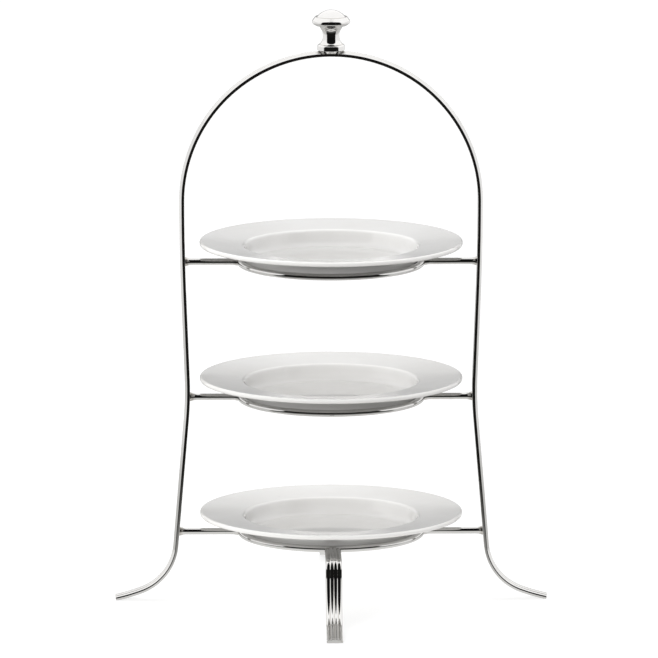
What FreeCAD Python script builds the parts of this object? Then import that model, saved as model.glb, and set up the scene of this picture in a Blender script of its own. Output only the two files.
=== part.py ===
"""Three-tier cake stand: a reeded strip bent into an arched hoop, three rod rings that each
hold a lift-out porcelain plate, a front and a rear leg off the lowest ring, and a turned finial.

Units are millimetres.  +Z is up, +X runs across the hoop and -Y is the front.  The origin is on
the table, under the centre of the rings."""
import FreeCAD, Part
import math
import os

V = FreeCAD.Vector
UP = V(0, 0, 1)

# ---------------------------------------------------------------- driving dimensions
# plates
plate_diameter = 210.0
plate_rise = 17.5           # ring centre to the top of the rim
rim_thickness = 3.7
rim_slope = 6.5             # degrees, the rim falls towards the well
rim_edge_round = 1.5
wall_slope = 72.0           # degrees from level, the well's wall
wall_thickness = 3.9
floor_rise = 1.0            # ring centre to the top of the well's floor
floor_thickness = 4.0
well_bend = 8.0             # inside radius between the well's wall and its floor
heel_bend = 4.0             # outside radius between the wall and the underside
rim_bend = 3.0              # radius where the rim turns down into the well
foot_ring_radius = 54.0
foot_ring_width = 4.0
foot_ring_height = 2.0
foot_ring_round = 0.8
# reeded strip: flat inside, crowned outside, with reeds side by side over the crown
strip_width = 13.0
line_depth = 1.3            # inner face to the line that the strip's bends are measured on
edge_thickness = 2.0        # at the strip's two edges
spine_thickness = 3.57      # inner face to the bottom of the middle groove
reed_count = 4
reed_depth = 0.7            # each reed's arc above the chord between its grooves
# hoop, measured on the strip's line; angles in degrees from straight down
crown_height = 442.0        # table to the line at the top of the arch
shoulder_radius = 1980.0    # slow inward bow below the arch
lean_in = 2.2
upper_run = 66.5
waist_radius = 272.0
lean_out = 4.8
# feet, shared by the hoop and by the front and rear legs
flare_radius = 43.6
flare_end = 69.4
toe_radius = 149.0
toe_end = 77.8
foot_flat_depth = 0.5       # filed off under each toe so that it stands flat
# front and rear legs
leg_bend_radius = 6.0       # where the leg turns down
# rings and arms
ring_radius = 72.5          # axis to the middle of the ring rod
ring_rod = 5.4
arm_rod = 5.2
lowest_tier = 55.0          # table to the middle of the lowest ring
tier_pitch = 109.8
# finial, from the strip upwards
ferrule_radius = 8.6
ferrule_foot_radius = 7.4
ferrule_skirt = 1.5         # ferrule's foot below the tops of the reeds
ferrule_lift = 0.6          # collar above the tops of the reeds
collar_radius = 11.0
collar_height = 4.6
collar_round = 1.8
neck_foot_radius = 9.3
neck_radius = 6.5
neck_top_radius = 8.3
neck_height = 12.6          # collar to the start of the flange's underside
flange_foot_radius = 12.4
flange_corner_radius = 16.2 # where the flange's lower and upper slopes would meet
flange_corner_height = 2.5  # of that corner, above the lower edge
flange_nose = 2.3           # rounding of that corner
flange_underside = 2.6      # height of the curve from the neck to the flange's lower edge
flange_curve_radius = 9.6   # radius that the curve passes
flange_curve_height = 1.82  # at this height above the neck
flange_height = 7.0
flange_top_radius = 12.8
dome_radius = 11.2
dome_height = 5.4
# finial screw
screw_radius = 2.0
screw_head_radius = 3.8
screw_head_height = 1.8
screw_length = 24.0
screw_slot = 0.8            # width and depth of the driver slot
# clearances
plate_side_clearance = 12.1 # rim to the inside of the arch
seat_gap = 0.15             # plate's wall to its ring
screw_gap = 0.2             # round the screw in the strip and the collar
screw_end_gap = 1.0         # past the tip of the screw

# ---------------------------------------------------------------- derived sizes
plate_radius = plate_diameter / 2
arch_radius = plate_radius + plate_side_clearance + line_depth
ring_rod_radius = ring_rod / 2
arm_rod_radius = arm_rod / 2
inner_face = crown_height - line_depth
tiers = {"bottom": lowest_tier, "middle": lowest_tier + tier_pitch, "top": lowest_tier + 2 * tier_pitch}
sides = {"right": 1, "left": -1}
toe_line_height = line_depth * math.sin(math.radians(toe_end)) - foot_flat_depth


def radial(angle, length):
    """Vector of the given length in the XZ plane, at right angles to a line whose direction is
    angle degrees outwards from straight down, towards the outside of the bend."""
    a = math.radians(angle)
    return V(math.cos(a) * length, 0, math.sin(a) * length)


def along(angle, length):
    """Vector of the given length in the XZ plane, angle degrees outwards from straight down."""
    a = math.radians(angle)
    return V(math.sin(a) * length, 0, -math.cos(a) * length)


def solid_of(shape):
    """The largest solid of a shape."""
    return max(shape.Solids, key=lambda s: s.Volume)


# ---------------------------------------------------------------- bent strip
class Line:
    """Centre line of a bent strip in the XZ plane, built up from straight runs and tangent arcs."""

    def __init__(self, start, angle):
        self.start = start
        self.start_angle = angle
        self.end = start
        self.angle = angle
        self.edges = []

    def run(self, length):
        new_end = self.end + along(self.angle, length)
        self.edges.append(Part.makeLine(self.end, new_end))
        self.end = new_end
        return self

    def bend(self, radius, new_angle):
        side = math.copysign(radius, new_angle - self.angle)
        centre = self.end + radial(self.angle, side)
        middle = centre - radial((self.angle + new_angle) / 2, side)
        new_end = centre - radial(new_angle, side)
        self.edges.append(Part.Arc(self.end, middle, new_end).toShape())
        self.end = new_end
        self.angle = new_angle
        return self


def bend_out(radius, from_angle, to_angle):
    """Outward travel of a bend between two angles."""
    return radius * (math.cos(math.radians(from_angle)) - math.cos(math.radians(to_angle)))


def bend_drop(radius, from_angle, to_angle):
    """Height lost over a bend between two angles."""
    return radius * (math.sin(math.radians(to_angle)) - math.sin(math.radians(from_angle)))


foot_out = bend_out(flare_radius, lean_out, flare_end) + bend_out(toe_radius, flare_end, toe_end)
foot_drop = bend_drop(flare_radius, lean_out, flare_end) + bend_drop(toe_radius, flare_end, toe_end)


def add_foot(line):
    """Straight run down to the flare, then the flare and the toe."""
    drop = line.end.z - toe_line_height - foot_drop
    line.run(drop / math.cos(math.radians(lean_out)))
    line.bend(flare_radius, flare_end)
    line.bend(toe_radius, toe_end)
    return line


def hoop_line():
    """One side of the hoop, from the crown to the toe."""
    line = Line(V(0, 0, crown_height), 90)
    line.bend(arch_radius, 0)
    line.bend(shoulder_radius, -lean_in)
    line.run(upper_run)
    line.bend(waist_radius, lean_out)
    return add_foot(line)


def leg_line(toe_reach):
    """A leg from the lowest ring: level, over the bend, then down to a toe at toe_reach."""
    height = lowest_tier - (strip_top() - line_depth) / 2
    fall = leg_bend_radius * (1 - math.sin(math.radians(lean_out)))
    slant = (height - fall - toe_line_height - foot_drop) * math.tan(math.radians(lean_out))
    bend_width = leg_bend_radius * math.cos(math.radians(lean_out))
    level = toe_reach - foot_out - slant - bend_width - ring_radius
    line = Line(V(ring_radius, 0, height), 90)
    line.run(level)
    line.bend(leg_bend_radius, lean_out)
    return add_foot(line)


def groove(i):
    """Place of groove i in the strip's section, as (across, outwards).  Groove 0 and the last one
    are the strip's edges, and the rest lie on a parabola over them."""
    across = strip_width * (0.5 - i / reed_count)
    crown = (spine_thickness - edge_thickness) * (1 - (2 * across / strip_width) ** 2)
    return across, edge_thickness + crown - line_depth


def reed_arc(i):
    """Start, middle and end of the arc of reed i, each as (across, outwards)."""
    start, end = groove(i), groove(i + 1)
    chord = math.dist(start, end)
    middle = ((start[0] + end[0]) / 2 + reed_depth * (end[1] - start[1]) / chord,
              (start[1] + end[1]) / 2 + reed_depth * (start[0] - end[0]) / chord)
    return start, middle, end


def strip_top():
    """Height of the middle reeds' tops above the strip's line."""
    start, middle, end = reed_arc(reed_count // 2 - 1)
    chord = math.dist(start, end)
    reed_radius = (chord ** 2 / 4 + reed_depth ** 2) / (2 * reed_depth)
    return middle[1] + reed_radius * (1 - (start[0] - end[0]) / chord)


crest_height = crown_height + strip_top()


def reeded_section(line):
    """Closed outline of the strip, square to the start of its line."""
    out = radial(line.start_angle, 1.0)

    def at(point):
        return line.start + V(0, point[0], 0) + out * point[1]

    half = strip_width / 2
    corners = [groove(reed_count), (-half, -line_depth), (half, -line_depth), groove(0)]
    edges = [Part.makeLine(at(a), at(b)) for a, b in zip(corners, corners[1:])]
    for i in range(reed_count):
        start, middle, end = reed_arc(i)
        edges.append(Part.Arc(at(start), at(middle), at(end)).toShape())
    return Part.Wire(edges)


def bent_strip(line):
    """The reeded strip carried along a line."""
    pipe = Part.BRepOffsetAPI.MakePipeShell(Part.Wire(line.edges))
    pipe.setBiNormalMode(V(0, 1, 0))
    pipe.add(reeded_section(line))
    pipe.build()
    pipe.makeSolid()
    solid = pipe.shape()
    return solid if solid.Volume > 0 else solid.reversed()


def below_table():
    """Everything under the table top, for filing the toes flat."""
    size = 4 * (hoop_line().end.x + strip_width)
    return Part.makeBox(size, size, size, V(-size / 2, -size / 2, -size))


def mirrored(solid):
    return solid.mirror(V(0, 0, 0), V(1, 0, 0))


def make_hoop():
    """The arch and both side legs, one strip, drilled and countersunk for the finial screw."""
    half = bent_strip(hoop_line())
    hoop = half.fuse(mirrored(half)).removeSplitter().cut(below_table())
    head, shank = screw_head_radius + screw_gap, screw_radius + screw_gap
    hole = screw_bore(shank, inner_face - strip_width, crest_height + strip_width)
    sink = Part.makeCone(head, shank, screw_head_height, V(0, 0, inner_face), UP)
    mouth = screw_bore(head, inner_face - strip_width, inner_face)
    return solid_of(hoop.cut(hole).cut(sink).cut(mouth))


def make_leg(ring, turn):
    """A front or rear leg, coped to the outside of the lowest ring."""
    leg = bent_strip(leg_line(hoop_line().end.x))
    leg.rotate(V(0, 0, 0), UP, turn)
    return solid_of(leg.cut(below_table()).cut(ring))


# ---------------------------------------------------------------- rings and arms
def make_ring(height):
    return Part.makeTorus(ring_radius, ring_rod_radius, V(0, 0, height), UP)


def make_arm(height, side, ring, hoop):
    """Straight rod between a ring and the inside of the hoop, coped to both."""
    length = hoop_line().end.x - ring_radius
    rod = Part.makeCylinder(arm_rod_radius, length, V(side * ring_radius, 0, height), V(side, 0, 0))
    pieces = rod.cut(ring).cut(hoop).Solids
    return min(pieces, key=lambda piece: abs(piece.CenterOfMass.x))


# ---------------------------------------------------------------- turned shapes
def corner_arc(before, corner, after, rounding):
    """Start, middle and end of the tangent arc that rounds a corner."""
    back = (before - corner).normalize()
    ahead = (after - corner).normalize()
    half = back.getAngle(ahead) / 2
    reach = rounding / math.tan(half)
    tip = corner + (back + ahead).normalize() * (rounding / math.sin(half) - rounding)
    return corner + back * reach, tip, corner + ahead * reach


def rounded_outline(corners):
    """Closed wire in the XZ plane through corners (x, z, rounding), tangent arcs at each."""
    count = len(corners)
    points = [V(x, 0, z) for x, z, rounding in corners]
    arcs = []
    for i, (x, z, rounding) in enumerate(corners):
        if rounding == 0:
            arcs.append((points[i], points[i], points[i]))
        else:
            arcs.append(corner_arc(points[i - 1], points[i], points[(i + 1) % count], rounding))
    edges = []
    for i, (start, tip, end) in enumerate(arcs):
        if corners[i][2] > 0:
            edges.append(Part.Arc(start, tip, end).toShape())
        edges.append(Part.makeLine(end, arcs[(i + 1) % count][0]))
    return Part.Wire(edges)


def turned(wire):
    """A closed outline turned about the stand's axis."""
    solid = Part.Face(wire).revolve(V(0, 0, 0), UP, 360)
    return solid if solid.Volume > 0 else solid.reversed()


def wall_point(offset, height):
    """Radius of a line on the well's wall.  offset is its distance from the ring rod's middle,
    square to the wall; height is measured from the ring's middle."""
    a = math.radians(wall_slope)
    return ring_radius - (offset - height * math.cos(a)) / math.sin(a)


def rim_height(radius, depth):
    """Height of the rim's upper face, or of a face depth below it, from the ring's middle."""
    a = math.radians(rim_slope)
    return plate_rise - (plate_radius - radius) * math.tan(a) - depth / math.cos(a)


def wall_meets_rim(offset, depth):
    """Corner between a line on the wall and a line on the rim."""
    wall_lean = 1 / math.tan(math.radians(wall_slope))
    base = wall_point(offset, 0)
    fall = math.tan(math.radians(rim_slope))
    rim_base = rim_height(0, depth)
    height = (rim_base + base * fall) / (1 - wall_lean * fall)
    return base + height * wall_lean, height


def make_plate(height):
    """Rimmed porcelain plate whose well hangs in the ring and bears on it by its wall."""
    outside = ring_rod_radius + seat_gap
    inside = outside + wall_thickness
    underside = floor_rise - floor_thickness
    foot = underside - foot_ring_height
    foot_in = foot_ring_radius - foot_ring_width / 2
    foot_out_radius = foot_ring_radius + foot_ring_width / 2
    crest = wall_meets_rim(inside, 0)
    armpit = wall_meets_rim(outside, rim_thickness)
    outline = [
        (0, floor_rise, 0),
        (wall_point(inside, floor_rise), floor_rise, well_bend),
        (crest[0], crest[1], rim_bend),
        (plate_radius, plate_rise, rim_edge_round),
        (plate_radius, rim_height(plate_radius, rim_thickness), rim_edge_round),
        (armpit[0], armpit[1], rim_bend),
        (wall_point(outside, underside), underside, heel_bend),
        (foot_out_radius, underside, 0),
        (foot_out_radius, foot, foot_ring_round),
        (foot_in, foot, foot_ring_round),
        (foot_in, underside, 0),
        (0, underside, 0),
    ]
    plate = turned(rounded_outline(outline))
    plate.translate(V(0, 0, height))
    return plate


# ---------------------------------------------------------------- finial
def three_point(a, b, c):
    """Arc in the XZ plane through three (radius, height) points."""
    return Part.Arc(V(a[0], 0, a[1]), V(b[0], 0, b[1]), V(c[0], 0, c[1])).toShape()


def screw_bore(radius, low, high):
    """Round hole on the finial's axis between two heights."""
    return Part.makeCylinder(radius, high - low, V(0, 0, low), UP)


collar_base = crest_height + ferrule_lift
collar_top = collar_base + collar_height
ferrule_base = crest_height - ferrule_skirt


def make_collar(hoop):
    """Ferrule coped over the reeds, with the collar above it."""
    outline = [
        (0, ferrule_base, 0),
        (ferrule_foot_radius, ferrule_base, 0),
        (ferrule_radius, collar_base, 0),
        (collar_radius, collar_base, 0),
        (collar_radius, collar_top, collar_round),
        (0, collar_top, 0),
    ]
    collar = turned(rounded_outline(outline))
    bore = screw_bore(screw_radius + screw_gap, crown_height, collar_top + screw_gap)
    return solid_of(collar.cut(hoop).cut(bore))


def make_knob():
    """Neck, flange and dome, turned in one piece and tapped from below."""
    waist = collar_top + neck_height / 2
    neck_top = collar_top + neck_height
    flange_low = neck_top + flange_underside
    flange_high = flange_low + flange_height
    widest = flange_low + flange_corner_height
    dome_ball = (dome_radius ** 2 + dome_height ** 2) / (2 * dome_height)
    dome_half = math.asin(dome_radius / dome_ball) / 2
    apex = (0, flange_high + dome_height)
    dome_mid = (dome_ball * math.sin(dome_half), apex[1] - dome_ball * (1 - math.cos(dome_half)))
    neck_low, neck_high = (neck_foot_radius, collar_top), (neck_top_radius, neck_top)
    flange_foot, flange_top = V(flange_foot_radius, 0, flange_low), V(flange_top_radius, 0, flange_high)
    start, nose, end = corner_arc(flange_foot, V(flange_corner_radius, 0, widest), flange_top, flange_nose)
    edges = [
        Part.makeLine(V(0, 0, collar_top), V(neck_foot_radius, 0, collar_top)),
        three_point(neck_low, (neck_radius, waist), neck_high),
        three_point(neck_high, (flange_curve_radius, neck_top + flange_curve_height),
                    (flange_foot_radius, flange_low)),
        Part.makeLine(flange_foot, start),
        Part.Arc(start, nose, end).toShape(),
        Part.makeLine(end, flange_top),
        Part.makeLine(flange_top, V(dome_radius, 0, flange_high)),
        three_point((dome_radius, flange_high), dome_mid, apex),
        Part.makeLine(V(0, 0, apex[1]), V(0, 0, collar_top)),
    ]
    knob = turned(Part.Wire(edges))
    return solid_of(knob.cut(screw_bore(screw_radius, collar_top - screw_gap, screw_tip() + screw_end_gap)))


def screw_tip():
    return inner_face + screw_length


def make_screw():
    """Countersunk screw, driven from below, flush with the inside of the strip."""
    head = Part.makeCone(screw_head_radius, screw_radius, screw_head_height, V(0, 0, inner_face), UP)
    shank = Part.makeCylinder(screw_radius, screw_length, V(0, 0, inner_face), UP)
    corner = V(-screw_head_radius, -screw_slot / 2, inner_face)
    slot = Part.makeBox(2 * screw_head_radius, screw_slot, screw_slot, corner)
    return solid_of(head.fuse(shank).removeSplitter().cut(slot))


# ---------------------------------------------------------------- assembly
def make_stand():
    hoop = make_hoop()
    nodes = {"hoop": hoop}
    for tier, height in tiers.items():
        ring = make_ring(height)
        nodes[tier + "_ring"] = ring
        nodes[tier + "_plate"] = make_plate(height)
        for side, sign in sides.items():
            nodes[tier + "_" + side + "_arm"] = make_arm(height, sign, ring, hoop)
    nodes["front_leg"] = make_leg(nodes["bottom_ring"], -90)
    nodes["rear_leg"] = make_leg(nodes["bottom_ring"], 90)
    nodes["finial_collar"] = make_collar(hoop)
    nodes["finial_knob"] = make_knob()
    nodes["finial_screw"] = make_screw()
    return nodes


os.makedirs("parts", exist_ok=True)
for name, shape in make_stand().items():
    box = shape.BoundBox
    print(name, shape.ShapeType, len(shape.Solids), shape.isValid(), round(shape.Volume, 1),
          [round(v, 2) for v in (box.XMin, box.XMax, box.YMin, box.YMax, box.ZMin, box.ZMax)])
    shape.exportStep(os.path.join("parts", name + ".step"))
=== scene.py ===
import math

import bpy
import numpy as np
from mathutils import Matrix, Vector


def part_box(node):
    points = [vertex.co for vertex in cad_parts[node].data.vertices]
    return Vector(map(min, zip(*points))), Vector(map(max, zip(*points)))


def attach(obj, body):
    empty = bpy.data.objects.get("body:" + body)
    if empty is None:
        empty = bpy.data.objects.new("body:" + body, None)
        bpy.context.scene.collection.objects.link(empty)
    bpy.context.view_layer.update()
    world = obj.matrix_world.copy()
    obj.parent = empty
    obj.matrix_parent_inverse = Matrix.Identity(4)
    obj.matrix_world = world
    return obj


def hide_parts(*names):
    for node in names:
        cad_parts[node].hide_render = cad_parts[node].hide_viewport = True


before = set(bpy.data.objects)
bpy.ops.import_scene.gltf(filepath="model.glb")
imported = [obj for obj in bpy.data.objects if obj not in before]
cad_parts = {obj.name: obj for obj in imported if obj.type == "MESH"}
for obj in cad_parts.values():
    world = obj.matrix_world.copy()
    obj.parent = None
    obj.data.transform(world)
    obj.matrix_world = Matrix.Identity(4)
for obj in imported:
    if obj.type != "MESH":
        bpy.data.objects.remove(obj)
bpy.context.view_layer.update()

MM = 0.001

# ---------------------------------------------------------------- sizes of the stand
tiers = {name: 500 * (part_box(name + "_ring")[0].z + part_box(name + "_ring")[1].z)
         for name in ("bottom", "middle", "top")}
# plates, with heights from the middle of their ring
plate_radius = 105.0
plate_rise, rim_slope, wall_slope = 17.5, 6.5, 72.0      # top of the rim; slopes in degrees from level
rim_thickness, rim_edge_round = 3.7, 1.5
wall_outside, wall_inside = 2.85, 6.75       # wall's faces, squarely from the middle of the ring's rod
floor_rise, underside, foot_bottom = 1.0, -3.0, -5.0
foot_inside, foot_outside, foot_round = 52.0, 56.0, 0.8
well_bend, heel_bend, rim_bend, foot_bend = 8.0, 4.0, 3.0, 0.5
# reeded strip, hoop and feet
strip_width, line_depth = 13.0, 1.3
edge_thickness, spine_thickness = 2.0, 3.57
reed_count, reed_depth = 4, 0.7
inner_corner, outer_corner = 0.30, 0.15      # rounding of the strip's long edges
section_middle, section_half = 0.7, 2.05     # its thickness shrinks to this middle at a toe
crown_height, arch_radius = 442.0, 118.4
shoulder_radius, lean_in = 1980.0, 2.2
upper_run, waist_radius, lean_out = 66.5, 272.0, 4.8
flare_radius, flare_end, toe_radius, toe_end = 43.6, 69.4, 149.0, 77.8
foot_flat_depth, toe_round = 0.5, 0.5
leg_bend_radius = 6.0
strip_top = 2.8                              # tops of the middle reeds above the strip's line
# rings, arms and solder
ring_radius, ring_rod_radius, arm_rod_radius = 72.5, 2.7, 2.6
solder_spread, solder_height = 2.3, 0.9      # fillet of solder round the ends of the arms
# finial, from the strip upwards
ferrule_radius, ferrule_foot_radius, ferrule_skirt, ferrule_lift = 8.6, 7.4, 1.5, 0.6
collar_bore, collar_radius, collar_height, collar_round = 2.2, 11.0, 4.6, 1.8
neck_bore, neck_foot_radius, neck_radius, neck_top_radius, neck_height = 2.0, 9.3, 6.5, 8.3, 12.6
flange_curve_radius, flange_curve_height, flange_underside = 9.6, 1.82, 2.6
flange_foot_radius, flange_corner_radius, flange_top_radius = 12.4, 16.2, 12.8
flange_corner_height, flange_nose, flange_height = 2.5, 2.3, 7.0
dome_radius, dome_height = 11.2, 5.4
# steps of the surfaces
reed_steps, flat_steps, toe_steps = 16, 8, 4
ring_steps, rod_sides, arm_steps, plate_sides, finial_sides = 288, 28, 56, 288, 128


# ---------------------------------------------------------------- putting a surface into a mesh
def make_piece(name, grid, body, replaced, material, close_rows=False, tips=(), finish=None,
               layers=None, sharp=35.0):
    """Mesh over a grid of points in millimetres, rows by columns by xyz.

    Columns close round on themselves, and rows too where close_rows is set.  Each point in tips
    closes the first or the last row with a fan.  finish holds the pair (along, around) in
    centimetres that the polishing marks follow, and layers hold one number for each point."""
    rows, columns = grid.shape[:2]
    index = np.arange(rows * columns).reshape(rows, columns)
    here = index if close_rows else index[:-1]
    ahead = np.roll(index, -1, 0) if close_rows else index[1:]
    quads = np.stack([here, np.roll(here, -1, 1), np.roll(ahead, -1, 1), ahead], -1).reshape(-1, 4)
    points = grid.reshape(-1, 3)
    fans = []
    for number, (row, tip) in enumerate(tips):
        ring = index[row]
        turned = np.roll(ring, -1) if row == 0 else np.roll(ring, 1)
        centre = np.full(columns, rows * columns + number)
        fans.append(np.stack([centre, turned, ring], -1))
        points = np.vstack([points, tip])
    centre = points.mean(0)
    a, b, c, d = (points[quads[:, i]] - centre for i in range(4))
    volume = np.einsum("ij,ij->", np.cross(a, b), c) + np.einsum("ij,ij->", np.cross(a, c), d)
    faces = quads.tolist() + [f for fan in fans for f in fan.tolist()]
    if volume < 0:
        faces = [f[::-1] for f in faces]
    mesh = bpy.data.meshes.new(name)
    mesh.from_pydata((points * MM).tolist(), [], faces)
    extra = len(points) - rows * columns
    for layer, values in (layers or {}).items():
        attribute = mesh.attributes.new(layer, "FLOAT", "POINT")
        flat = np.concatenate([np.broadcast_to(values, (rows, columns)).ravel(), np.zeros(extra)])
        attribute.data.foreach_set("value", flat.astype(np.float32))
    if finish is not None:
        marks = np.vstack([np.broadcast_to(finish, (rows, columns, 2)).reshape(-1, 2), np.zeros((extra, 2))])
        attribute = mesh.attributes.new("finish", "FLOAT2", "POINT")
        attribute.data.foreach_set("vector", marks.astype(np.float32).ravel())
    mesh.polygons.foreach_set("use_smooth", np.ones(len(mesh.polygons), bool))
    mesh.set_sharp_from_angle(angle=math.radians(sharp))
    mesh.materials.append(material)
    mesh.update()
    piece = bpy.data.objects.new(name, mesh)
    bpy.context.scene.collection.objects.link(piece)
    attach(piece, body)
    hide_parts(*replaced)
    return piece


# ---------------------------------------------------------------- reeded strip
def path_of(start, heading, steps):
    """Line of straight runs and tangent arcs in the XZ plane, as an array of (x, z, heading, distance).

    Heading is in degrees outwards from straight down, so a run goes (sin heading, -cos heading).
    An arc keeps its centre: each point is the centre less the radius times the outward square of
    its heading, (cos heading, sin heading).  A step is (radius, new heading), or (length, None)."""
    x, z = start
    rows = [(x, z, heading, 0.0)]
    for size, new_heading in steps:
        x, z, heading, distance = rows[-1]
        if new_heading is None:
            part = np.linspace(0, size, max(3, int(size / 4)))[1:]
            t = math.radians(heading)
            rows += zip(x + part * math.sin(t), z - part * math.cos(t), np.full(len(part), heading),
                        distance + part)
        else:
            side = math.copysign(size, new_heading - heading)
            centre_x = x + side * math.cos(math.radians(heading))
            centre_z = z + side * math.sin(math.radians(heading))
            length = size * abs(math.radians(new_heading - heading))
            count = max(int(abs(new_heading - heading) / 0.8), int(length / 4), 3)
            part = np.linspace(heading, new_heading, count + 1)[1:]
            t = np.radians(part)
            rows += zip(centre_x - side * np.cos(t), centre_z - side * np.sin(t), part,
                        distance + size * np.abs(t - math.radians(heading)))
    return np.array(rows, float)


def foot_steps(height):
    """Run, flare and toe that bring a line from the given height down to its toe on the table."""
    def drop(radius, a, b):
        return radius * (math.sin(math.radians(b)) - math.sin(math.radians(a)))
    toe_line_height = line_depth * math.sin(math.radians(toe_end)) - foot_flat_depth
    fall = drop(flare_radius, lean_out, flare_end) + drop(toe_radius, flare_end, toe_end)
    run = (height - toe_line_height - fall) / math.cos(math.radians(lean_out))
    return [(run, None), (flare_radius, flare_end), (toe_radius, toe_end)]


def strip_section():
    """Outline of the strip as (across, outwards), and how deep in a groove each point lies, 0 to 1.

    The inside is flat with rounded corners.  The outside carries reeds: each is an arc of a circle
    over the chord between two grooves, and the grooves lie on a parabola over the two edges."""
    across = strip_width * (0.5 - np.arange(reed_count + 1) / reed_count)
    crown = (spine_thickness - edge_thickness) * (1 - (2 * across / strip_width) ** 2)
    grooves = np.stack([across, edge_thickness + crown - line_depth], -1)
    outline, depth = [], []
    for start, end in zip(grooves, grooves[1:]):
        chord = np.linalg.norm(end - start)
        ahead = (end - start) / chord
        out = np.array([ahead[1], -ahead[0]])
        radius = (chord ** 2 / 4 + reed_depth ** 2) / (2 * reed_depth)
        half = math.asin(chord / 2 / radius)
        turn = np.linspace(-half, half, reed_steps + 1)[:-1]
        centre = (start + end) / 2 - out * (radius - reed_depth)
        outline.append(centre + radius * (np.outer(np.sin(turn), ahead) + np.outer(np.cos(turn), out)))
        depth.append(np.abs(turn / half) ** 5)
    half = strip_width / 2
    turn = np.linspace(0, math.pi / 2, 6)
    side = np.linspace(edge_thickness - line_depth - outer_corner, inner_corner - line_depth, 5)
    first_reed, last_reed = outline[0], outline[-1]
    outline[0] = eased_edge(first_reed, half)
    outline[-1] = eased_edge(last_reed[::-1] * [-1, 1], half)[::-1] * [-1, 1]
    outline.append(np.stack([np.full(4, -half), side[:-1]], -1))
    corner = np.stack([-half + inner_corner * (1 - np.cos(turn)),
                       inner_corner * (1 - np.sin(turn)) - line_depth], -1)
    outline.append(corner)
    inside = np.linspace(-half + inner_corner, half - inner_corner, flat_steps + 1)[1:-1]
    outline.append(np.stack([inside, np.full(flat_steps - 1, -line_depth)], -1))
    outline.append(corner[::-1] * [-1, 1])
    outline.append(np.stack([np.full(4, half), side[:0:-1]], -1))
    depth.append(np.zeros(sum(len(o) for o in outline) - reed_count * reed_steps))
    return np.vstack(outline), np.concatenate(depth)


def eased_edge(reed, half):
    """A reed's points with the corner against the strip's side worn round: within outer_corner of
    the side, a point drops by the gap between a square corner and a quarter circle."""
    gap = np.clip(1 - (half - reed[:, 0]) / outer_corner, 0, 1)
    return reed - np.stack([np.zeros(len(reed)), outer_corner * (1 - np.sqrt(1 - gap ** 2))], -1)


def round_toe(line, inset, way):
    """A line and its insets with one toe drawn back by toe_round and rounded by a quarter circle.

    Way is 1 for the toe at the line's end and -1 for the one at its start."""
    line, row = line.copy(), -1 if way > 0 else 0
    t = math.radians(line[row, 2])
    onward = way * np.array([math.sin(t), -math.cos(t), 0, 1])
    line[row] -= toe_round * onward
    rounding = np.linspace(0, math.pi / 2, toe_steps + 1)[1:]
    extra = line[row] + toe_round * np.outer(np.sin(rounding), onward)
    step = toe_round * (1 - np.cos(rounding))
    if way > 0:
        return np.vstack([line, extra]), np.concatenate([inset, step])
    return np.vstack([extra[::-1], line]), np.concatenate([step[::-1], inset])


def swept_strip(line, both_ways, turn):
    """The section carried along a line, turned about the upright axis, with rounded toes.

    A point lies at the line's point, plus its across along Y, plus its outwards along the square of
    the heading.  With both_ways the line is mirrored in X to make the hoop.  Close to a toe's end
    the section shrinks by a quarter circle of toe_round, and nothing goes below the table."""
    outline, depth = strip_section()
    if both_ways:
        back = line[:0:-1] * [-1, 1, -1, -1]
        back[:, 2] = 180 - line[:0:-1, 2]
        line = np.vstack([back, line])
    line, inset = round_toe(line, np.zeros(len(line)), 1)
    if both_ways:
        line, inset = round_toe(line, inset, -1)
    t = np.radians(line[:, 2])[:, None]
    middle, half = np.array([0, section_middle]), np.array([strip_width / 2, section_half])
    local = middle + (outline - middle) * (1 - inset[:, None, None] / half)
    across, out = local[..., 0], local[..., 1]
    grid = np.stack([line[:, :1] + out * np.cos(t), across, line[:, 1:2] + out * np.sin(t)], -1)
    marks = np.stack(np.broadcast_arrays(line[:, 3:4], np.cumsum(np.full(len(outline), 0.35))[None]), -1) / 10
    angle = math.radians(turn)
    x, y, z = grid[..., 0], grid[..., 1], grid[..., 2]
    grid = np.stack([x * math.cos(angle) - y * math.sin(angle), x * math.sin(angle) + y * math.cos(angle),
                     np.maximum(z, 0)], -1)
    first, last = grid[0].mean(0), grid[-1].mean(0)
    return grid, marks, depth, [(0, first), (-1, last)]


# ---------------------------------------------------------------- rods
def solder(distance):
    """Height of a solder fillet at a distance from the joint: a bell that dies away."""
    return solder_height * np.exp(-(distance / solder_spread) ** 2)


def ring_grid(height):
    """Ring of round rod: a circle of the rod's radius carried round a circle of the ring's radius.

    Its outer side swells a little where the two arms are soldered to it, by the distance along
    the ring to the nearer joint."""
    round_ring = np.linspace(0, 2 * math.pi, ring_steps, endpoint=False)[:, None]
    round_rod = np.linspace(0, 2 * math.pi, rod_sides, endpoint=False)[None]
    from_right = np.abs((round_ring + math.pi) % (2 * math.pi) - math.pi)
    away = np.minimum(from_right, math.pi - from_right)
    swell = 0.45 * solder(away * ring_radius * 0.55) * np.clip(np.cos(round_rod), 0, 1)
    rod = ring_rod_radius + swell
    out = ring_radius + rod * np.cos(round_rod)
    grid = np.stack([out * np.cos(round_ring), out * np.sin(round_ring),
                     height + rod * np.sin(round_rod)], -1)
    marks = np.stack(np.broadcast_arrays(round_ring * ring_radius, round_rod * ring_rod_radius), -1) / 10
    return grid, marks, 0.5 * swell / solder_height


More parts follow.
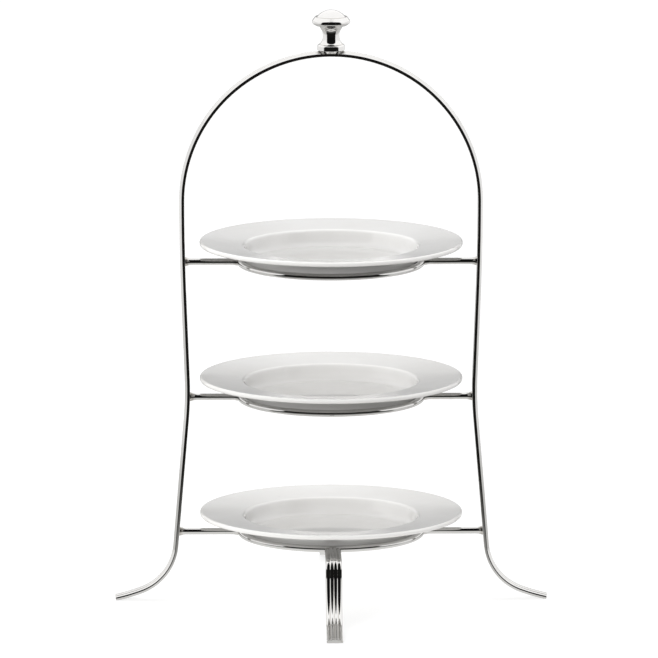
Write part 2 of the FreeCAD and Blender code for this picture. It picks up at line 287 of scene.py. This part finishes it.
def arm_grid(height, side, reach, lean):
    """Straight rod from a ring out to the hoop, swollen at both ends by the solder.

    Its outer end leans with the hoop, so that the fillet follows the strip's inside: the end's
    distance from the axis falls with height by the tangent of the lean.  The rows crowd towards
    both ends by a sine, to carry the fillets."""
    start, end = ring_radius + 0.6 * ring_rod_radius, reach
    run = np.linspace(0, 1, arm_steps)
    run = (run - np.sin(2 * math.pi * run) / (2 * math.pi) * 0.75)[:, None]
    turn = np.linspace(0, 2 * math.pi, rod_sides, endpoint=False)[None]
    along = start + (end - start) * run
    rod = arm_rod_radius + solder(np.abs(end - 0.9 - along)) + 0.6 * solder(np.abs(along - ring_radius - 2.2))
    up = rod * np.sin(turn)
    out = along + run ** 8 * up * math.tan(math.radians(lean))
    grid = np.stack([side * out, rod * np.cos(turn), height + up], -1)
    marks = np.stack(np.broadcast_arrays(along, turn * arm_rod_radius), -1) / 10
    tips = [(0, np.array([side * start, 0, height])), (-1, np.array([side * end, 0, height]))]
    return grid, marks, (rod - arm_rod_radius) / solder_height, tips


# ---------------------------------------------------------------- turned shapes
def rounded_profile(corners, pitch):
    """Profile (radius, height, length) through corners (radius, height, rounding): straight lines
    joined by tangent arcs, each arc its centre plus its radius at evenly spaced angles."""
    points = np.array([c[:2] for c in corners], float)
    rows = [points[0]]
    for i in range(1, len(points) - 1):
        back, ahead = points[i - 1] - points[i], points[i + 1] - points[i]
        back, ahead = back / np.linalg.norm(back), ahead / np.linalg.norm(ahead)
        rounding = corners[i][2]
        opening = math.acos(np.clip(back @ ahead, -1, 1))
        reach = rounding / math.tan(opening / 2)
        bisector = (back + ahead) / np.linalg.norm(back + ahead)
        centre = points[i] + bisector * rounding / math.sin(opening / 2)
        first, last = points[i] + back * reach - centre, points[i] + ahead * reach - centre
        share = np.linspace(0, 1, max(4, int(math.degrees(math.pi - opening) / 7)))[:, None]
        sweep = math.pi - opening
        arc = (np.sin((1 - share) * sweep) * first + np.sin(share * sweep) * last) / math.sin(sweep)
        rows += list(centre + arc)
    rows.append(points[-1])
    rows = np.array(rows)
    steps = np.linalg.norm(np.diff(rows, axis=0), axis=1)
    length = np.concatenate([[0], np.cumsum(steps)])
    keep = np.concatenate([[True], steps > 1e-6])
    rows, length = rows[keep], length[keep]
    filled = np.unique(np.concatenate([length, np.arange(0, length[-1], pitch)]))
    radius, height = (np.interp(filled, length, rows[:, i]) for i in (0, 1))
    return np.stack([radius, height, filled], -1)


def turned_grid(profile, sides):
    """Surface of a profile turned about the upright axis: (radius cos t, radius sin t, height)."""
    t = np.linspace(0, 2 * math.pi, sides, endpoint=False)[None]
    radius, height = profile[:, :1], profile[:, 1:2]
    grid = np.stack(np.broadcast_arrays(radius * np.cos(t), radius * np.sin(t), height + 0 * t), -1)
    marks = np.stack(np.broadcast_arrays(t * 1.5, profile[:, 2:3] / 10), -1)
    return grid, marks


def on_wall(offset, height):
    """Radius of a line on the plate's wall, offset squarely from the ring rod's middle."""
    a = math.radians(wall_slope)
    return ring_radius - (offset - height * math.cos(a)) / math.sin(a)


def on_rim(radius, depth):
    """Height of the rim's upper face at a radius, or of a face a depth below it."""
    a = math.radians(rim_slope)
    return plate_rise - (plate_radius - radius) * math.tan(a) - depth / math.cos(a)


def wall_to_rim(offset, depth):
    """Corner where a line on the wall meets a line on the rim."""
    lean, fall = 1 / math.tan(math.radians(wall_slope)), math.tan(math.radians(rim_slope))
    height = (on_rim(0, depth) + on_wall(offset, 0) * fall) / (1 - lean * fall)
    return on_wall(offset, height), height


def plate_grid(height):
    """Rimmed plate: its profile turned about the axis, with the small unevenness of fired clay.

    The rim dips and rises by a few hundredths of a millimetre in two and three waves round the
    plate, growing with the square of the radius.  The layers are bare, 1 on the unglazed foot,
    edge, 1 along the plate's outermost line, where a painted highlight goes, and rim, 1 on the
    rim's upper face and its edge, where the lit copy of the glaze goes; the rest gets painted shade."""
    crest, armpit = wall_to_rim(wall_inside, 0), wall_to_rim(wall_outside, rim_thickness)
    corners = [(0, floor_rise, 0), (on_wall(wall_inside, floor_rise), floor_rise, well_bend),
               (*crest, rim_bend), (plate_radius, plate_rise, rim_edge_round),
               (plate_radius, on_rim(plate_radius, rim_thickness), rim_edge_round), (*armpit, rim_bend),
               (on_wall(wall_outside, underside), underside, heel_bend),
               (foot_outside, underside, foot_bend), (foot_outside, foot_bottom, foot_round),
               (foot_inside, foot_bottom, foot_round), (foot_inside, underside, foot_bend),
               (0, underside, 0)]
    profile = rounded_profile(corners, 2.2)[1:-1]
    grid, marks = turned_grid(profile, plate_sides)
    t = np.linspace(0, 2 * math.pi, plate_sides, endpoint=False)[None]
    share = (profile[:, :1] / plate_radius) ** 2
    wave = share * (0.05 * np.sin(2 * t + 0.4) + 0.035 * np.sin(3 * t + 1.9) - 0.085)
    grid[..., 2] += height + wave
    bare = np.clip((foot_bottom + 0.55 - profile[:, 1:2]) / 0.3, 0, 1)
    # edge and rim are masks for painted light: a highlight along the outermost line, and the lit glaze of the
    # rim face
    edge = np.exp(-((profile[:, :1] - plate_radius) / 1.1) ** 2)
    top_side = np.arange(len(profile))[:, None] <= np.argmax(profile[:, 0])
    upper = top_side * np.clip((profile[:, :1] - crest[0] + 1) / 3, 0, 1)
    tips = [(0, np.array([0, 0, height + floor_rise])), (-1, np.array([0, 0, height + underside]))]
    return grid, marks, {"bare": bare, "edge": edge, "rim": np.maximum(upper, edge)}, tips


# ---------------------------------------------------------------- finial
def arc_through(a, b, c, count):
    """Points of the circle through three (radius, height) points, from the first to the last."""
    (ax, ay), (bx, by), (cx, cy) = a, b, c
    d = 2 * (ax * (by - cy) + bx * (cy - ay) + cx * (ay - by))
    aa, bb, cc = ax * ax + ay * ay, bx * bx + by * by, cx * cx + cy * cy
    ux = (aa * (by - cy) + bb * (cy - ay) + cc * (ay - by)) / d
    uy = (aa * (cx - bx) + bb * (ax - cx) + cc * (bx - ax)) / d
    centre, radius = np.array([ux, uy]), math.hypot(ax - ux, ay - uy)
    first, mid, last = (math.atan2(p[1] - uy, p[0] - ux) for p in (a, b, c))
    sweep = (last - first) % (2 * math.pi)
    if (mid - first) % (2 * math.pi) > sweep:
        sweep -= 2 * math.pi
    t = first + sweep * np.linspace(0, 1, count)
    return centre + radius * np.stack([np.cos(t), np.sin(t)], -1)


def profile_of(parts):
    """Runs of (radius, height) points put end to end, with the length travelled as a third column."""
    rows = np.vstack(parts)
    steps = np.linalg.norm(np.diff(rows, axis=0), axis=1)
    rows = rows[np.concatenate([[True], steps > 1e-4])]
    length = np.concatenate([[0], np.cumsum(np.linalg.norm(np.diff(rows, axis=0), axis=1))])
    return np.column_stack([rows, length])


# ---------------------------------------------------------------- materials
def new_material(name):
    """Empty node material with its shader; returns the material, its nodes, its links and the shader."""
    material = bpy.data.materials.new(name)
    material.use_nodes = True
    tree = material.node_tree
    return material, tree.nodes, tree.links, tree.nodes["Principled BSDF"]


def noise_of(nodes, links, source, scale, detail, stretch=(1, 1, 1), roughness=0.55):
    """Noise over a vector output, stretched along its axes."""
    mapping = nodes.new("ShaderNodeMapping")
    mapping.inputs["Scale"].default_value = stretch
    links.new(source, mapping.inputs["Vector"])
    noise = nodes.new("ShaderNodeTexNoise")
    noise.inputs["Scale"].default_value = scale
    noise.inputs["Detail"].default_value = detail
    noise.inputs["Roughness"].default_value = roughness
    links.new(mapping.outputs["Vector"], noise.inputs["Vector"])
    return noise.outputs["Fac"]


def ramp_of(nodes, links, source, stops):
    """Colour ramp over a number, stops given as (place, colour)."""
    ramp = nodes.new("ShaderNodeValToRGB")
    elements = ramp.color_ramp.elements
    for number, (place, colour) in enumerate(stops):
        element = elements[number] if number < 2 else elements.new(place)
        element.position, element.color = place, (*colour, 1)
    links.new(source, ramp.inputs["Fac"])
    return ramp.outputs["Color"]


def range_of(nodes, links, source, low, high, new_low, new_high):
    """A number carried from one range to another."""
    node = nodes.new("ShaderNodeMapRange")
    for name, value in (("From Min", low), ("From Max", high), ("To Min", new_low), ("To Max", new_high)):
        node.inputs[name].default_value = value
    links.new(source, node.inputs["Value"])
    return node.outputs["Result"]


def math_of(nodes, links, operation, a, b):
    """Maths node over two outputs or numbers."""
    node = nodes.new("ShaderNodeMath")
    node.operation = operation
    for socket, value in zip(node.inputs, (a, b)):
        if isinstance(value, (int, float)):
            socket.default_value = value
        else:
            links.new(value, socket)
    return node.outputs["Value"]


def blend_of(nodes, links, share, a, b, mode="MIX"):
    """Colour mix of two colour outputs by a share."""
    node = nodes.new("ShaderNodeMix")
    node.data_type, node.blend_type = "RGBA", mode
    links.new(share, node.inputs[0])
    links.new(a, node.inputs[6])
    links.new(b, node.inputs[7])
    return node.outputs[2]


def bump_of(nodes, links, shader, layers):
    """Bump chain over (height output, strength, distance in metres) layers."""
    normal = None
    for height, strength, distance in layers:
        bump = nodes.new("ShaderNodeBump")
        bump.inputs["Strength"].default_value = strength
        bump.inputs["Distance"].default_value = distance
        links.new(height, bump.inputs["Height"])
        if normal is not None:
            links.new(normal, bump.inputs["Normal"])
        normal = bump.outputs["Normal"]
    links.new(normal, shader.inputs["Normal"])


def plated_finish(name, bright, dull, hairline, tarnish_reach):
    """Polished plate: hairlines along the polishing direction, soft clouds left by the buffing mop,
    finger haze, a few deeper scratches, and brown tarnish and old polish deep in grooves and joints."""
    material, nodes, links, shader = new_material(name)
    shader.inputs["Metallic"].default_value = 1.0
    place = nodes.new("ShaderNodeTexCoord").outputs["Object"]
    finish = nodes.new("ShaderNodeAttribute")
    finish.attribute_name = "finish"
    deep = nodes.new("ShaderNodeAttribute")
    deep.attribute_name = "deep"
    lines = noise_of(nodes, links, finish.outputs["Vector"], 1.0, 5, (1.1, 130, 1))
    scratch = noise_of(nodes, links, finish.outputs["Vector"], 1.0, 2, (0.5, 38, 1))
    clouds = noise_of(nodes, links, place, 55, 4)
    haze = noise_of(nodes, links, place, 17, 3, roughness=0.7)
    grain = noise_of(nodes, links, place, 900, 3)
    settled = math_of(nodes, links, "MULTIPLY", deep.outputs["Fac"],
                      range_of(nodes, links, clouds, 0.3, 0.7, 0.45, 1))
    metal = ramp_of(nodes, links, clouds, [(0.25, dull), (0.75, bright)])
    tarnish = ramp_of(nodes, links, grain, [(0.3, (0.20, 0.16, 0.11)), (0.8, (0.46, 0.40, 0.31))])
    share = range_of(nodes, links, settled, 0.15, 1.0, 0.0, tarnish_reach)
    links.new(blend_of(nodes, links, share, metal, tarnish), shader.inputs["Base Color"])
    rough = math_of(nodes, links, "ADD", range_of(nodes, links, haze, 0.35, 0.8, 0.03, 0.095),
                    range_of(nodes, links, lines, 0.45, 0.85, 0.0, 0.05))
    links.new(math_of(nodes, links, "ADD", rough, range_of(nodes, links, settled, 0.2, 1.0, 0.0, 0.28)),
              shader.inputs["Roughness"])
    bump_of(nodes, links, shader, [(lines, hairline, 0.000012), (scratch, hairline, 0.00002),
                                   (grain, 0.05, 0.00001), (clouds, 0.12, 0.00012)])
    return material


def porcelain_finish():
    """White glaze on porcelain, faintly warm, that pools a little bluish where it is thick.  Light and
    shade are painted into it: the well, wall and underside get a much darker copy of the glaze as
    painted shade, the rim's upper face a lighter lit copy, and the plate's outermost line a painted
    highlight, a little warmer where the glaze runs thin.  Also fine orange peel, rare pinholes and
    iron specks, faint grey cutlery marks, and a bare, fine-grained foot."""
    material, nodes, links, shader = new_material("glazed_porcelain_finish")
    shader.inputs["IOR"].default_value = 1.52
    shader.inputs["Coat Weight"].default_value = 0.35
    shader.inputs["Coat Roughness"].default_value = 0.03
    place = nodes.new("ShaderNodeTexCoord").outputs["Object"]
    bare = nodes.new("ShaderNodeAttribute")
    bare.attribute_name = "bare"
    edge = nodes.new("ShaderNodeAttribute")
    edge.attribute_name = "edge"
    lit_rim_mask = nodes.new("ShaderNodeAttribute")
    lit_rim_mask.attribute_name = "rim"
    pool = noise_of(nodes, links, place, 24, 4)
    peel = noise_of(nodes, links, place, 260, 3)
    ripple = noise_of(nodes, links, place, 45, 2)
    grain = noise_of(nodes, links, place, 2600, 4)
    marks = noise_of(nodes, links, place, 60, 3, (1, 34, 1))
    specks = nodes.new("ShaderNodeTexVoronoi")
    specks.inputs["Scale"].default_value = 85
    links.new(place, specks.inputs["Vector"])
    dot = range_of(nodes, links, specks.outputs["Distance"], 0.012, 0.035, 1, 0)
    rare = math_of(nodes, links, "MULTIPLY", dot,
                   range_of(nodes, links, noise_of(nodes, links, place, 31, 1), 0.6, 0.64, 0, 1))
    # painted shade: the well, wall and underside get this darker copy of the glaze, the rim's upper face the
    # lighter lit copy
    body = ramp_of(nodes, links, pool, [(0.3, (0.685, 0.677, 0.662)), (0.7, (0.718, 0.711, 0.700))])
    lit_rim_glaze = ramp_of(nodes, links, pool, [(0.3, (0.905, 0.896, 0.880)), (0.7, (0.935, 0.930, 0.920))])
    body = blend_of(nodes, links, lit_rim_mask.outputs["Fac"], body, lit_rim_glaze)
    # painted highlight along the plate's outermost line, a little warmer where the glaze runs thin
    rim = ramp_of(nodes, links, pool, [(0.3, (0.940, 0.925, 0.900)), (0.7, (0.955, 0.945, 0.930))])
    iron = ramp_of(nodes, links, grain, [(0.3, (0.30, 0.25, 0.20)), (0.7, (0.45, 0.40, 0.34))])
    clay = ramp_of(nodes, links, grain, [(0.3, (0.62, 0.60, 0.56)), (0.7, (0.76, 0.74, 0.70))])
    colour = blend_of(nodes, links, edge.outputs["Fac"], body, rim)
    colour = blend_of(nodes, links, math_of(nodes, links, "MULTIPLY", rare, 0.8), colour, iron)
    colour = blend_of(nodes, links, range_of(nodes, links, marks, 0.71, 0.80, 0, 0.10), colour, iron)
    links.new(blend_of(nodes, links, bare.outputs["Fac"], colour, clay), shader.inputs["Base Color"])
    gloss = range_of(nodes, links, pool, 0.3, 0.75, 0.05, 0.11)
    rough = math_of(nodes, links, "MULTIPLY", bare.outputs["Fac"], 0.6)
    links.new(math_of(nodes, links, "ADD", gloss, rough), shader.inputs["Roughness"])
    rough_clay = math_of(nodes, links, "MULTIPLY", grain, bare.outputs["Fac"])
    bump_of(nodes, links, shader, [(ripple, 0.25, 0.0004), (peel, 0.18, 0.00008),
                                   (math_of(nodes, links, "MULTIPLY", rare, -1.0), 0.5, 0.0002),
                                   (rough_clay, 0.6, 0.0002)])
    return material


bright_silver, dull_silver = (0.69, 0.683, 0.672), (0.62, 0.612, 0.60)
strip_plate = plated_finish("silver_plate_on_reeded_strip", bright_silver, dull_silver, 0.16, 0.85)
rod_plate = plated_finish("silver_plate_on_rod", bright_silver, dull_silver, 0.13, 0.55)
turned_plate = plated_finish("silver_plate_on_turned_finial", (0.70, 0.693, 0.683),
                             (0.64, 0.632, 0.62), 0.10, 0.5)
screw_plate = plated_finish("dull_plate_on_screw", (0.80, 0.79, 0.77), (0.62, 0.61, 0.58), 0.30, 0.4)
porcelain = porcelain_finish()

# ---------------------------------------------------------------- hoop and legs
arch_steps = [(arch_radius, 0), (shoulder_radius, -lean_in), (upper_run, None), (waist_radius, lean_out)]
waist_end = path_of((0, crown_height), 90, arch_steps)[-1, 1]
hoop_path = path_of((0, crown_height), 90, arch_steps + foot_steps(waist_end))
grid, marks, depth, tips = swept_strip(hoop_path, True, 0)
make_piece("hoop_strip", grid, "frame", ["hoop"], strip_plate, tips=tips, finish=marks,
           layers={"deep": depth})

leg_height = tiers["bottom"] - (strip_top - line_depth) / 2
below_bend = leg_height - leg_bend_radius * (1 - math.sin(math.radians(lean_out)))
# the level run is what brings a leg's toe as far out as the hoop's
leg_steps = [(leg_bend_radius, lean_out)] + foot_steps(below_bend)
level = hoop_path[-1, 0] - path_of((ring_radius, leg_height), 90, leg_steps)[-1, 0]
leg_path = path_of((ring_radius, leg_height), 90, [(level, None)] + leg_steps)
for name, turn in (("front_leg", -90), ("rear_leg", 90)):
    grid, marks, depth, tips = swept_strip(leg_path, False, turn)
    make_piece(name + "_strip", grid, "frame", [name], strip_plate, tips=tips, finish=marks,
               layers={"deep": depth})

# ---------------------------------------------------------------- rings, arms and plates
upwards = hoop_path[np.argsort(hoop_path[:, 1])]
for tier, height in tiers.items():
    grid, marks, deep = ring_grid(height)
    make_piece(tier + "_ring_rod", grid, "frame", [tier + "_ring"], rod_plate,
               close_rows=True, finish=marks, layers={"deep": deep})
    line_x, lean = (np.interp(height, upwards[:, 1], upwards[:, i]) for i in (0, 2))
    for side_name, side in (("right", 1), ("left", -1)):
        grid, marks, deep, tips = arm_grid(height, side, line_x - 0.6 * line_depth, -lean)
        make_piece(f"{tier}_{side_name}_arm_rod", grid, "frame", [f"{tier}_{side_name}_arm"],
                   rod_plate, tips=tips, finish=marks, layers={"deep": deep})
    grid, marks, layers, tips = plate_grid(height)
    make_piece(tier + "_porcelain_plate", grid, tier + "_plate", [tier + "_plate"],
               porcelain, tips=tips, layers=layers)

# ---------------------------------------------------------------- finial and screw
crest_height = crown_height + strip_top
collar_base = crest_height + ferrule_lift
collar_top = collar_base + collar_height
collar_corners = [(collar_bore, crown_height + 1.5, 0),
                  (ferrule_foot_radius, crest_height - ferrule_skirt, 0.15),
                  (ferrule_radius, collar_base - 0.15, 0.12), (collar_radius, collar_base, 0.3),
                  (collar_radius, collar_top, collar_round), (collar_bore, collar_top, 0)]
collar_profile = rounded_profile(collar_corners, 0.8)
neck_top = collar_top + neck_height
flange_low = neck_top + flange_underside
flange_high = flange_low + flange_height
widest, apex = flange_low + flange_corner_height, flange_high + dome_height
dome_ball = (dome_radius ** 2 + dome_height ** 2) / (2 * dome_height)
dome_half = math.asin(dome_radius / dome_ball) / 2
dome_middle = (dome_ball * math.sin(dome_half), apex - dome_ball * (1 - math.cos(dome_half)))
flange_slopes = rounded_profile([(flange_foot_radius, flange_low, 0),
                                 (flange_corner_radius, widest, flange_nose),
                                 (flange_top_radius, flange_high, 0)], 0.5)
worn = 0.1                                   # how far the turned corners are worn back
knob_profile = profile_of([
    np.array([(neck_bore, collar_top + 0.02), (neck_foot_radius - 1.5 * worn, collar_top + 0.02)]),
    arc_through((neck_foot_radius - worn, collar_top + 1.2 * worn),
                (neck_radius, collar_top + neck_height / 2),
                (neck_top_radius - worn, neck_top - 1.5 * worn), 26),
    arc_through((neck_top_radius, neck_top), (flange_curve_radius, neck_top + flange_curve_height),
                (flange_foot_radius - worn, flange_low), 10),
    flange_slopes[1:-1, :2],
    np.array([(flange_top_radius - 2 * worn, flange_high), (dome_radius + 1.5 * worn, flange_high)]),
    arc_through((dome_radius, flange_high + 1.2 * worn), dome_middle, (0.4, apex), 22)])
groove_heights = (neck_top, flange_high, collar_top)
for name, profile in (("finial_collar", collar_profile), ("finial_knob", knob_profile)):
    grid, marks = turned_grid(profile, finial_sides)
    deep = 0.7 * sum(np.exp(-((profile[:, 1:2] - h) / 0.35) ** 2) for h in groove_heights)
    closing = [(row, np.array([0, 0, profile[row, 1]])) for row in (0, -1)]
    make_piece(name + "_turned", grid, "frame", [name], turned_plate, tips=closing,
               finish=marks, layers={"deep": deep}, sharp=28)
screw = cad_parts["finial_screw"]
screw.data.materials.clear()
screw.data.materials.append(screw_plate)

# ---------------------------------------------------------------- studio, in metres
floor_half, floor_drop = 30.0, 0.0003        # drop keeps the floor clear of the toes' undersides
card_left, card_right, card_front, card_back, card_height = -0.8, 0.8, -0.125, 1.0, 0.71
card_glow, plain_glow = 1.4, 1.05
low_sky, high_sky, gloom = 1.18, 1.42, 0.75  # brightness round the horizon, overhead, and lost behind
darkest = 0.008
fill_power, fill_size, fill_place = 92, 1.6, (-0.9, -3.2, 1.3)


def stage_sheet(name, corners, material):
    """Flat sheet of the studio through four corners."""
    mesh = bpy.data.meshes.new(name)
    mesh.from_pydata(corners, [], [(0, 1, 2, 3)])
    mesh.materials.append(material)
    sheet = bpy.data.objects.new(name, mesh)
    bpy.context.scene.collection.objects.link(sheet)
    return sheet


def angle_range(nodes, links, source, low, high, new_low, new_high):
    """An angle carried from a range in degrees to a range of numbers."""
    return range_of(nodes, links, source, math.radians(low), math.radians(high), new_low, new_high)


def round_about(nodes, links, x, y):
    """Angle round the upright axis, counted both ways from straight in front of the stand."""
    forward = math_of(nodes, links, "MULTIPLY", y, -1.0)
    return math_of(nodes, links, "ABSOLUTE", math_of(nodes, links, "ARCTAN2", x, forward), 0.0)


def floor_finish():
    """Pale floor: nearly white and softly shadowed where it is looked at.  Where it is mirrored or
    lights the stand it is a glowing sheet of painted light and shade instead: white at the stand,
    fading to black in front, greyer close beside it and behind it."""
    material = bpy.data.materials.new("pale_floor")
    material.use_nodes = True
    nodes, links = material.node_tree.nodes, material.node_tree.links
    nodes.clear()
    path = nodes.new("ShaderNodeLightPath")
    place = nodes.new("ShaderNodeNewGeometry").outputs["Position"]
    length = nodes.new("ShaderNodeVectorMath")
    length.operation = "LENGTH"
    links.new(place, length.inputs[0])
    reach = length.outputs["Value"]
    # painted light and shade of the glowing sheet, by distance from the stand: white to black ahead, a grey
    # dip beside, grey behind
    ahead = ramp_of(nodes, links, reach,
                    [(0.0, (1.0, 1.0, 0.99)), (0.15, (0.95, 0.95, 0.94)), (0.235, (0.38, 0.38, 0.37)),
                     (0.37, (0.13, 0.13, 0.125)), (0.56, (0.012, 0.012, 0.011))])
    aside = ramp_of(nodes, links, range_of(nodes, links, reach, 0, 4, 0, 1),
                    [(0.0, (1.0, 1.0, 0.99)), (0.05, (0.8, 0.8, 0.79)), (0.2, (0.7, 0.7, 0.69)),
                     (0.4, (1.15, 1.15, 1.15))])
    split = nodes.new("ShaderNodeSeparateXYZ")
    links.new(place, split.inputs[0])
    azimuth = round_about(nodes, links, split.outputs["X"], split.outputs["Y"])
    limit = range_of(nodes, links, reach, 0.25, 1.2, math.radians(82), math.radians(64))
    beside = angle_range(nodes, links, math_of(nodes, links, "SUBTRACT", azimuth, limit), -3, 3, 0, 1)
    behind = angle_range(nodes, links, azimuth, 150, 165, 0, 1)
    back = ramp_of(nodes, links, reach, [(0.2, (0.8, 0.8, 0.79)), (0.9, (0.45, 0.45, 0.445))])
    sheet = nodes.new("ShaderNodeEmission")
    links.new(blend_of(nodes, links, behind, blend_of(nodes, links, beside, ahead, aside), back),
              sheet.inputs["Color"])
    white = nodes.new("ShaderNodeBsdfDiffuse")
    white.inputs["Color"].default_value = (0.45, 0.45, 0.45, 1)
    lift = nodes.new("ShaderNodeEmission")
    lift.inputs["Strength"].default_value = 0.66
    seen = nodes.new("ShaderNodeAddShader")
    links.new(white.outputs[0], seen.inputs[0])
    links.new(lift.outputs[0], seen.inputs[1])
    mix = nodes.new("ShaderNodeMixShader")
    links.new(path.outputs["Is Camera Ray"], mix.inputs[0])
    links.new(sheet.outputs[0], mix.inputs[1])
    links.new(seen.outputs[0], mix.inputs[2])
    links.new(mix.outputs[0], nodes.new("ShaderNodeOutputMaterial").inputs[0])
    return material


def card_finish():
    """Even glow of the overhead card."""
    material = bpy.data.materials.new("overhead_card")
    material.use_nodes = True
    nodes, links = material.node_tree.nodes, material.node_tree.links
    nodes.clear()
    glow = nodes.new("ShaderNodeEmission")
    glow.inputs["Strength"].default_value = card_glow
    links.new(glow.outputs[0], nodes.new("ShaderNodeOutputMaterial").inputs[0])
    return material


def background(nodes):
    """White background node, with its strength still to be set."""
    node = nodes.new("ShaderNodeBackground")
    node.inputs["Color"].default_value = (1, 1, 1, 1)
    return node


stage_sheet("floor", [(x * floor_half, y * floor_half, -floor_drop)
                      for x, y in ((-1, -1), (1, -1), (1, 1), (-1, 1))], floor_finish())
card_corners = ((card_left, card_front), (card_left, card_back), (card_right, card_back),
                (card_right, card_front))
card = stage_sheet("overhead_card", [(x, y, card_height) for x, y in card_corners], card_finish())
card.visible_camera = False
card.visible_diffuse = False
card.visible_shadow = False

# The room that the plate mirrors: white all round and overhead, black in front of the stand up to
# the point overhead, and a little darker low down behind it.
world = bpy.data.worlds.new("studio")
bpy.context.scene.world = world
world.use_nodes = True
nodes, links = world.node_tree.nodes, world.node_tree.links
nodes.clear()
direction = nodes.new("ShaderNodeTexCoord").outputs["Generated"]
split = nodes.new("ShaderNodeSeparateXYZ")
links.new(direction, split.inputs[0])
x, y, z = split.outputs
azimuth = round_about(nodes, links, x, y)
rise = math_of(nodes, links, "ARCSINE", z, 0.0)
front = angle_range(nodes, links, azimuth, 59, 63, 1, 0)
dark = math_of(nodes, links, "MULTIPLY", front, range_of(nodes, links, y, 0.02, -0.03, 0, 1))
behind = math_of(nodes, links, "MULTIPLY", angle_range(nodes, links, azimuth, 152, 162, 0, 1),
                 angle_range(nodes, links, rise, 25, 50, 1, 0))
sky = angle_range(nodes, links, rise, 10, 60, low_sky, high_sky)
shade = math_of(nodes, links, "SUBTRACT", sky, math_of(nodes, links, "MULTIPLY", dark, high_sky))
shade = math_of(nodes, links, "SUBTRACT", shade, math_of(nodes, links, "MULTIPLY", behind, gloom))
room = background(nodes)
links.new(math_of(nodes, links, "MAXIMUM", shade, darkest), room.inputs["Strength"])
plain = background(nodes)
plain.inputs["Strength"].default_value = plain_glow
path = nodes.new("ShaderNodeLightPath")
mix = nodes.new("ShaderNodeMixShader")
links.new(path.outputs["Is Camera Ray"], mix.inputs[0])
links.new(room.outputs[0], mix.inputs[1])
links.new(plain.outputs[0], mix.inputs[2])
links.new(mix.outputs[0], nodes.new("ShaderNodeOutputWorld").inputs[0])

lamp = bpy.data.lights.new("front_fill", "AREA")
lamp.energy, lamp.size = fill_power, fill_size
fill = bpy.data.objects.new("front_fill", lamp)
bpy.context.scene.collection.objects.link(fill)
fill.location = fill_place
fill.rotation_euler = (Vector((0, 0, 0.2)) - fill.location).to_track_quat("-Z", "Y").to_euler()
fill.visible_glossy = False

# ---------------------------------------------------------------- camera
distance, rise_angle, turn_angle = 8.0, math.radians(10.37), math.radians(-1.0)
target = Vector((0, 0, 0.2196))
camera = bpy.data.objects.new("camera", bpy.data.cameras.new("camera"))
bpy.context.scene.collection.objects.link(camera)
run = math.cos(rise_angle)
camera.location = target + distance * Vector((run * math.sin(turn_angle), -run * math.cos(turn_angle),
                                              math.sin(rise_angle)))
aim = (target - camera.location).to_track_quat("-Z", "Y")
camera.rotation_euler = aim.to_euler()
camera.data.sensor_width = 36.0
camera.data.lens = 547.4626
camera.data.clip_end = 100
camera.data.shift_x = -0.00319
camera.data.dof.use_dof = False
bpy.context.scene.camera = camera
bpy.context.scene.view_settings.view_transform = "Standard"
